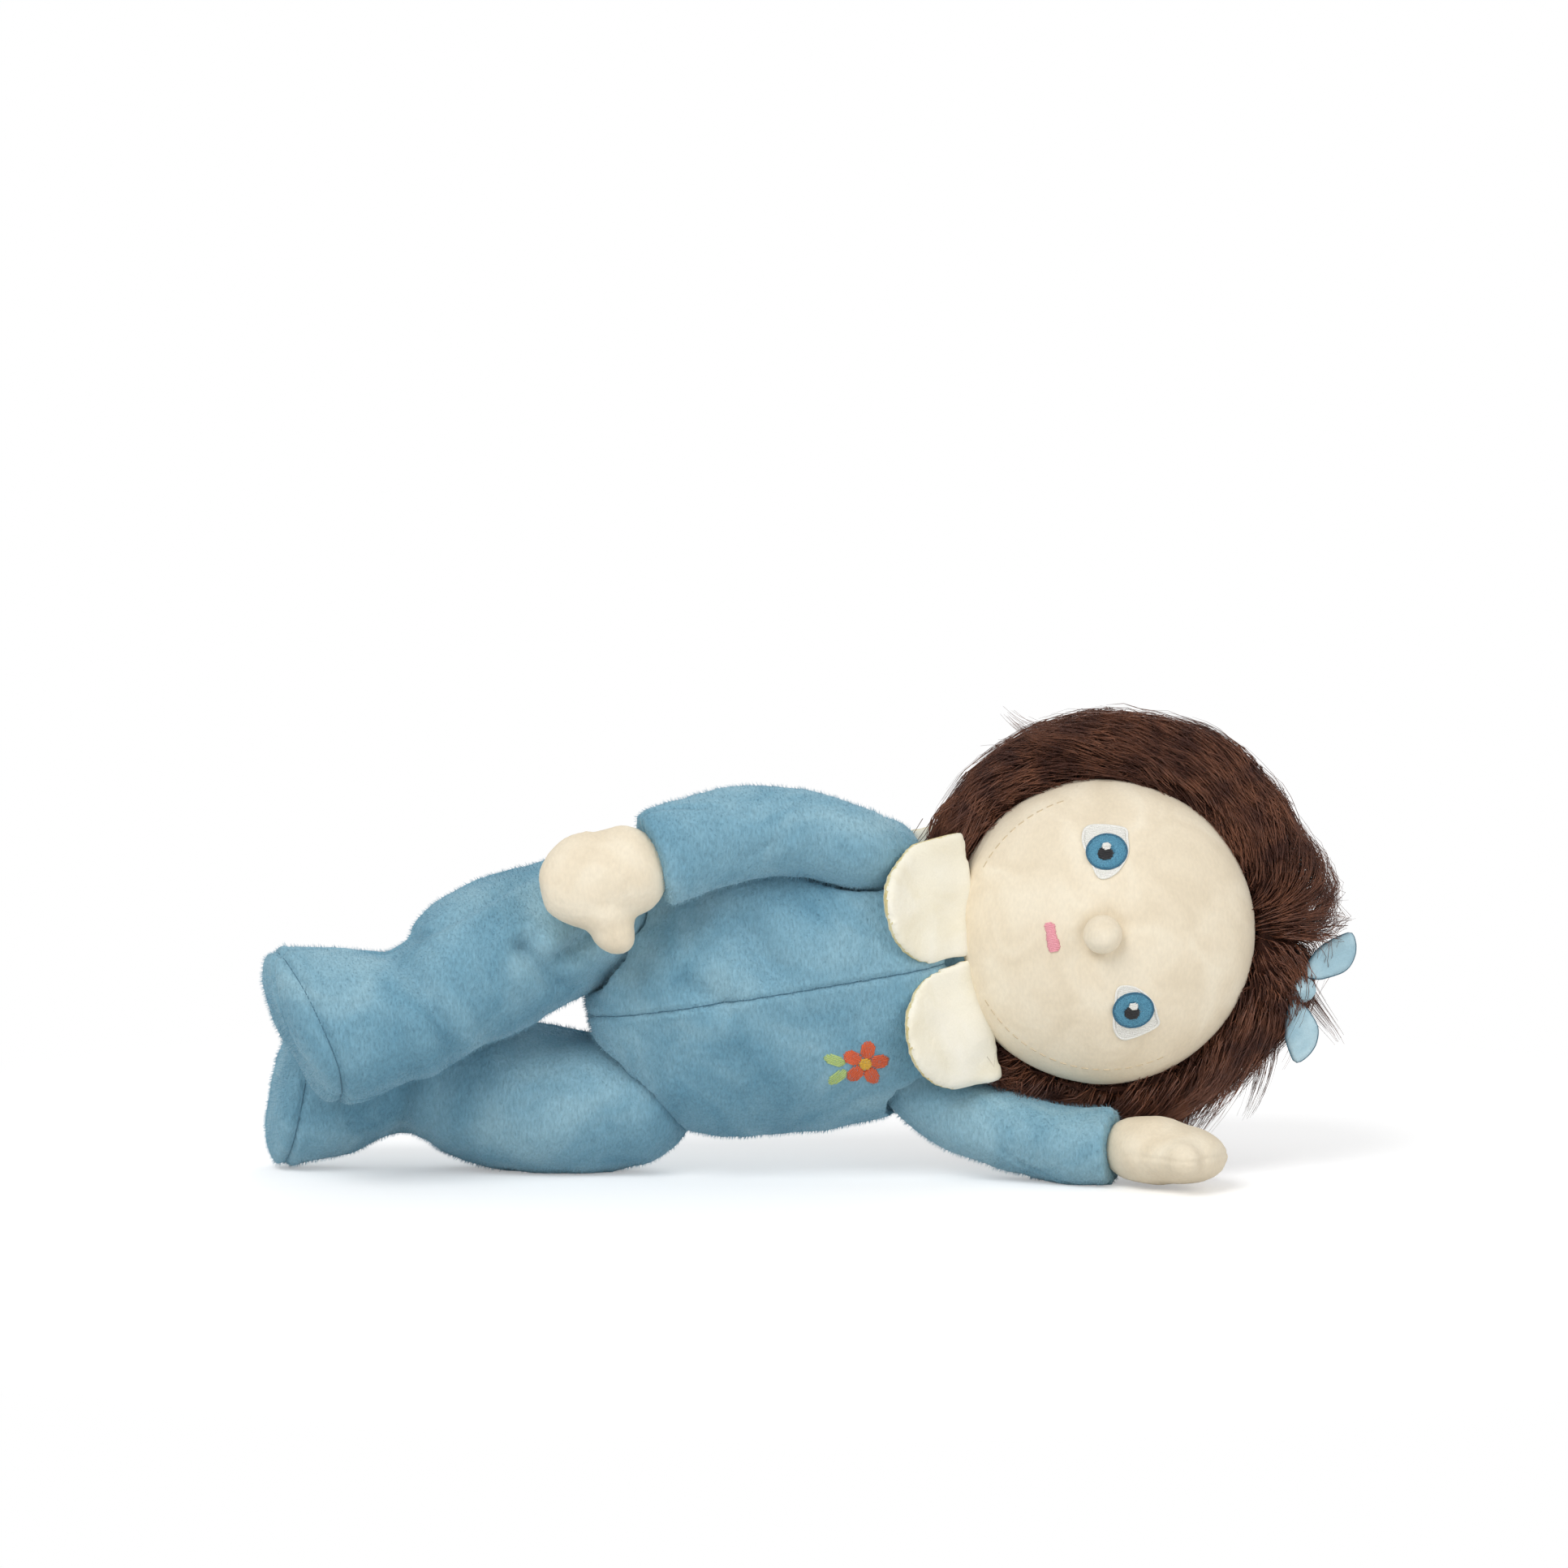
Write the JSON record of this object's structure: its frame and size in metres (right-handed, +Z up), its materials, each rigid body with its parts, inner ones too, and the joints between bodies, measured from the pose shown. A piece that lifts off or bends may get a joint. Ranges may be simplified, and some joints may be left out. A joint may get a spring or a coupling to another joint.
{
  "type": "soft cloth doll",
  "caption": "Soft cloth baby doll in a plush romper with a scalloped collar, felt face and hands, faux-fur hair and a hair bow, lying on its side.",
  "frame": {"origin": "on the surface the doll lies on, below the middle of its length and depth", "axes": "+X towards the crown of the head, -Y the way the doll faces, +Z up; the doll lies on its left side"},
  "size_m": [0.2692, 0.0732, 0.1123],
  "materials": {
    "blue_plush": "short velour pile",
    "cream_felt": "fine felt",
    "cream_plush": "short plush with a raw edge",
    "brown_hair": "long faux fur",
    "blue_felt": "brushed cloth",
    "white_thread": "embroidery",
    "blue_thread": "embroidery",
    "black_thread": "embroidery",
    "pink_thread": "embroidery",
    "orange_thread": "embroidery",
    "yellow_thread": "embroidery",
    "green_thread": "embroidery",
    "pouch_cloth": "plain woven",
    "pellet_fill": "pellets",
    "filling": "fibre filling"
  },
  "bodies": {
    "torso": {"torso_front_right": "blue_plush", "torso_front_left": "blue_plush", "torso_back_right": "blue_plush", "torso_back_left": "blue_plush", "torso_stuffing": "filling", "pellet_pouch": "pouch_cloth", "pellets": "pellet_fill", "collar_back_right": "cream_plush", "collar_back_left": "cream_plush", "motif_petals": "orange_thread", "motif_centre": "yellow_thread", "motif_leaves": "green_thread"},
    "neck": {"neck_tube": "blue_plush", "neck_stuffing": "filling"},
    "head": {"face_panel": "cream_felt", "head_back_panel": "cream_felt", "head_stuffing": "filling", "hair_wig": "brown_hair", "nose_ball": "cream_felt", "eye_white_right": "white_thread", "eye_white_left": "white_thread", "iris_right": "blue_thread", "iris_left": "blue_thread", "pupil_right": "black_thread", "pupil_left": "black_thread", "highlight_right": "white_thread", "highlight_left": "white_thread", "mouth_stitch": "pink_thread"},
    "bow": {"bow_wing_right": "blue_felt", "bow_wing_left": "blue_felt", "bow_knot": "blue_felt"},
    "collar_right": {"collar_front_right": "cream_plush"},
    "collar_left": {"collar_front_left": "cream_plush"},
    "arm_right": {"sleeve_right_front": "blue_plush", "sleeve_right_back": "blue_plush", "sleeve_right_stuffing": "filling"},
    "hand_right": {"hand_right_front": "cream_felt", "hand_right_back": "cream_felt", "hand_right_stuffing": "filling"},
    "leg_right": {"leg_right_front": "blue_plush", "leg_right_back": "blue_plush", "leg_right_stuffing": "filling"},
    "foot_right": {"foot_right_front": "blue_plush", "foot_right_back": "blue_plush", "foot_right_stuffing": "filling", "sole_right": "blue_plush"},
    "arm_left": {"sleeve_left_front": "blue_plush", "sleeve_left_back": "blue_plush", "sleeve_left_stuffing": "filling"},
    "hand_left": {"hand_left_front": "cream_felt", "hand_left_back": "cream_felt", "hand_left_stuffing": "filling"},
    "leg_left": {"leg_left_front": "blue_plush", "leg_left_back": "blue_plush", "leg_left_stuffing": "filling"},
    "foot_left": {"foot_left_front": "blue_plush", "foot_left_back": "blue_plush", "foot_left_stuffing": "filling", "sole_left": "blue_plush"}
  },
  "joints": [
    {"name": "neck_nod", "type": "hinge", "parent": "torso", "child": "neck", "pos_m": [0.03524, 0.00201, 0.0545], "axis": [-0.1564, 0, 0.9877], "range_deg": [-15, 15], "stiffness_Nm_per_rad": 0.25},
    {"name": "head_turn", "type": "hinge", "parent": "neck", "child": "head", "pos_m": [0.04018, 0.00201, 0.05528], "axis": [0.9877, 0, 0.1564], "range_deg": [-20, 20], "stiffness_Nm_per_rad": 0.25},
    {"name": "bow_rock", "type": "hinge", "parent": "head", "child": "bow", "pos_m": [0.12212, -0.00335, 0.04677], "axis": [0.9168, -0.0383, -0.3976], "range_deg": [-20, 20], "stiffness_Nm_per_rad": 0.002},
    {"name": "collar_lift_right", "type": "hinge", "parent": "torso", "child": "collar_right", "pos_m": [0.03114, -0.01139, 0.06954], "axis": [-0.1564, 0, 0.9877], "range_deg": [0, 35], "stiffness_Nm_per_rad": 0.002},
    {"name": "collar_lift_left", "type": "hinge", "parent": "torso", "child": "collar_left", "pos_m": [0.03599, -0.01139, 0.03893], "axis": [-0.1564, 0, 0.9877], "range_deg": [0, 35], "stiffness_Nm_per_rad": 0.002},
    {"name": "shoulder_right_raise", "type": "hinge", "parent": "torso", "child": "arm_right", "pos_m": [0.01802, -0.00699, 0.08012], "axis": [0, 1, 0], "range_deg": [0, 40], "stiffness_Nm_per_rad": 0.03},
    {"name": "wrist_right_bend", "type": "hinge", "parent": "arm_right", "child": "hand_right", "pos_m": [-0.04351, -0.02782, 0.07865], "axis": [-0.1564, 0, 0.9877], "range_deg": [0, 40], "stiffness_Nm_per_rad": 0.01},
    {"name": "shoulder_left_swing", "type": "hinge", "parent": "torso", "child": "arm_left", "pos_m": [0.02678, 0.00101, 0.02481], "axis": [0, 0, -1], "range_deg": [0, 45], "stiffness_Nm_per_rad": 0.2},
    {"name": "wrist_left_bend", "type": "hinge", "parent": "arm_left", "child": "hand_left", "pos_m": [0.0819, -0.01564, 0.0091], "axis": [0, 0, -1], "range_deg": [0, 30], "stiffness_Nm_per_rad": 0.02},
    {"name": "hip_right_raise", "type": "hinge", "parent": "torso", "child": "leg_right", "pos_m": [-0.05148, -0.00099, 0.06506], "axis": [0, 1, 0], "range_deg": [0, 45], "stiffness_Nm_per_rad": 0.08},
    {"name": "ankle_right_bend", "type": "hinge", "parent": "leg_right", "child": "foot_right", "pos_m": [-0.09836, -0.01876, 0.0415], "axis": [0, 0, 1], "range_deg": [0, 30], "stiffness_Nm_per_rad": 0.05},
    {"name": "hip_left_swing", "type": "hinge", "parent": "torso", "child": "leg_left", "pos_m": [-0.04397, 0.00501, 0.01766], "axis": [0, 0, -1], "range_deg": [0, 45], "stiffness_Nm_per_rad": 0.25},
    {"name": "ankle_left_bend", "type": "hinge", "parent": "leg_left", "child": "foot_left", "pos_m": [-0.10243, 0.0103, 0.02474], "axis": [0, 0, -1], "range_deg": [0, 30], "stiffness_Nm_per_rad": 0.05}
  ]
}
